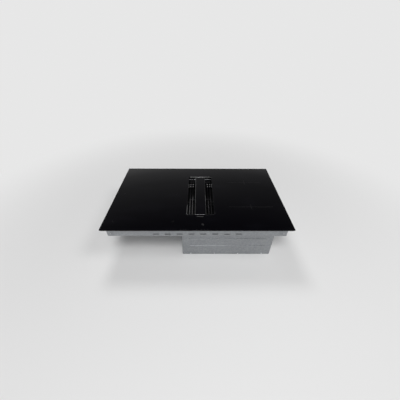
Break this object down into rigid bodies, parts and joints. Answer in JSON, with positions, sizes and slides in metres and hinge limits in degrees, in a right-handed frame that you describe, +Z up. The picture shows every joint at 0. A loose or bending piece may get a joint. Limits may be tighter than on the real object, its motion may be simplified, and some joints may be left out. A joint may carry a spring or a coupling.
{
  "type": "downdraft induction cooktop",
  "caption": "Black glass induction hob with a long central extraction grille, lift-out filters and a blower housing below.",
  "frame": {"origin": "under the middle of the glass, on the plane that the blower housing stands on", "axes": "+Z up, +Y away from the cook, +X to the cook's right"},
  "size_m": [0.83, 0.515, 0.21],
  "materials": {
    "black_glass": "polished black glass ceramic",
    "bright_steel": "bright brushed",
    "tinted_steel": "brushed steel with a dark tint",
    "dark_steel": "dark satin coating",
    "galvanised": "galvanised sheet",
    "aluminium": "plain sheet and extrusion",
    "dark_aluminium": "black anodised sheet and expanded mesh",
    "copper": "enamelled copper wire",
    "black_plastic": "fine moulded texture",
    "grey_plastic": "moulded",
    "foam": "closed-cell foam",
    "board": "lacquered circuit board"
  },
  "bodies": {
    "hob": {"glass_top": "black_glass", "glass_seal": "foam", "opening_trim": "dark_steel", "inlet_well": "black_plastic", "hob_tray": "galvanised", "coil_plate_left": "aluminium", "coil_plate_right": "aluminium", "coil_carrier_front_left": "grey_plastic", "coil_carrier_rear_left": "grey_plastic", "coil_carrier_front_right": "grey_plastic", "coil_carrier_rear_right": "grey_plastic", "coil_front_left": "copper", "coil_rear_left": "copper", "coil_front_right": "copper", "coil_rear_right": "copper", "power_board_left": "board", "power_board_right": "board", "heatsink_left": "aluminium", "heatsink_right": "aluminium", "cooling_fan_frame_left": "black_plastic", "cooling_fan_frame_right": "black_plastic", "touch_holder": "black_plastic", "touch_board": "board", "blower_housing": "galvanised", "bottom_cover": "galvanised", "blower_scroll": "black_plastic", "scroll_cover": "black_plastic", "blower_motor": "dark_steel", "control_case": "grey_plastic", "control_board": "board", "outlet_collar": "galvanised", "flap_pin": "bright_steel", "terminal_box": "grey_plastic", "terminal_cover": "grey_plastic", "terminal_block": "black_plastic", "cable_gland": "black_plastic", "clamp_screw_front_left": "bright_steel", "clamp_screw_front_right": "bright_steel", "clamp_screw_rear_left": "bright_steel", "clamp_screw_rear_right": "bright_steel"},
    "spill_tray_body": {"spill_tray": "black_plastic"},
    "filter_body": {"filter_basket": "dark_steel", "filter_front": "dark_aluminium", "filter_rear": "dark_aluminium", "filter_divider": "dark_aluminium"},
    "grille_body": {"grille": "dark_steel", "panel_frame": "tinted_steel", "panel_glass": "black_glass"},
    "impeller_body": {"impeller": "grey_plastic"},
    "fan_left": {"cooling_fan_rotor_left": "black_plastic"},
    "fan_right": {"cooling_fan_rotor_right": "black_plastic"},
    "flap_upper_body": {"flap_upper": "galvanised"},
    "flap_lower_body": {"flap_lower": "galvanised"},
    "clamp_front_left_body": {"clamp_arm_front_left": "galvanised"},
    "clamp_front_right_body": {"clamp_arm_front_right": "galvanised"},
    "clamp_rear_left_body": {"clamp_arm_rear_left": "galvanised"},
    "clamp_rear_right_body": {"clamp_arm_rear_right": "galvanised"}
  },
  "joints": [
    {"name": "spill_tray_lift", "type": "slide", "parent": "hob", "child": "spill_tray_body", "axis": [0, 0, 1], "range_m": [0, 0.21]},
    {"name": "filter_lift", "type": "slide", "parent": "spill_tray_body", "child": "filter_body", "axis": [0, 0, 1], "range_m": [0, 0.08]},
    {"name": "grille_lift", "type": "slide", "parent": "filter_body", "child": "grille_body", "axis": [0, 0, 1], "range_m": [0, 0.06]},
    {"name": "impeller_spin", "type": "hinge", "parent": "hob", "child": "impeller_body", "pos_m": [0.2177, -0.045, 0.05], "axis": [0, 0, 1], "continuous": true},
    {"name": "fan_left_spin", "type": "hinge", "parent": "hob", "child": "fan_left", "pos_m": [-0.239, 0.158, 0.17], "axis": [0, 0, 1], "continuous": true},
    {"name": "fan_right_spin", "type": "hinge", "parent": "hob", "child": "fan_right", "pos_m": [0.255, 0.158, 0.17], "axis": [0, 0, 1], "continuous": true},
    {"name": "flap_upper_swing", "type": "hinge", "parent": "hob", "child": "flap_upper_body", "pos_m": [0.2317, 0.1895, 0.0552], "axis": [-1, 0, 0], "range_deg": [0, 75], "stiffness_Nm_per_rad": 0.03},
    {"name": "flap_lower_swing", "type": "hinge", "parent": "hob", "child": "flap_lower_body", "pos_m": [0.2317, 0.1895, 0.0552], "axis": [1, 0, 0], "range_deg": [0, 75], "stiffness_Nm_per_rad": 0.03},
    {"name": "clamp_front_left_swing", "type": "hinge", "parent": "hob", "child": "clamp_front_left_body", "pos_m": [-0.405, -0.1695, 0.1658], "axis": [0, 0, 1], "range_deg": [0, 90]},
    {"name": "clamp_front_right_swing", "type": "hinge", "parent": "hob", "child": "clamp_front_right_body", "pos_m": [0.405, -0.1695, 0.1658], "axis": [0, 0, -1], "range_deg": [0, 90]},
    {"name": "clamp_rear_left_swing", "type": "hinge", "parent": "hob", "child": "clamp_rear_left_body", "pos_m": [-0.405, 0.1695, 0.1658], "axis": [0, 0, -1], "range_deg": [0, 90]},
    {"name": "clamp_rear_right_swing", "type": "hinge", "parent": "hob", "child": "clamp_rear_right_body", "pos_m": [0.405, 0.1695, 0.1658], "axis": [0, 0, 1], "range_deg": [0, 90]}
  ],
  "couplings": [
    {"joint": "flap_lower_swing", "follows": "flap_upper_swing", "ratio": 1}
  ]
}
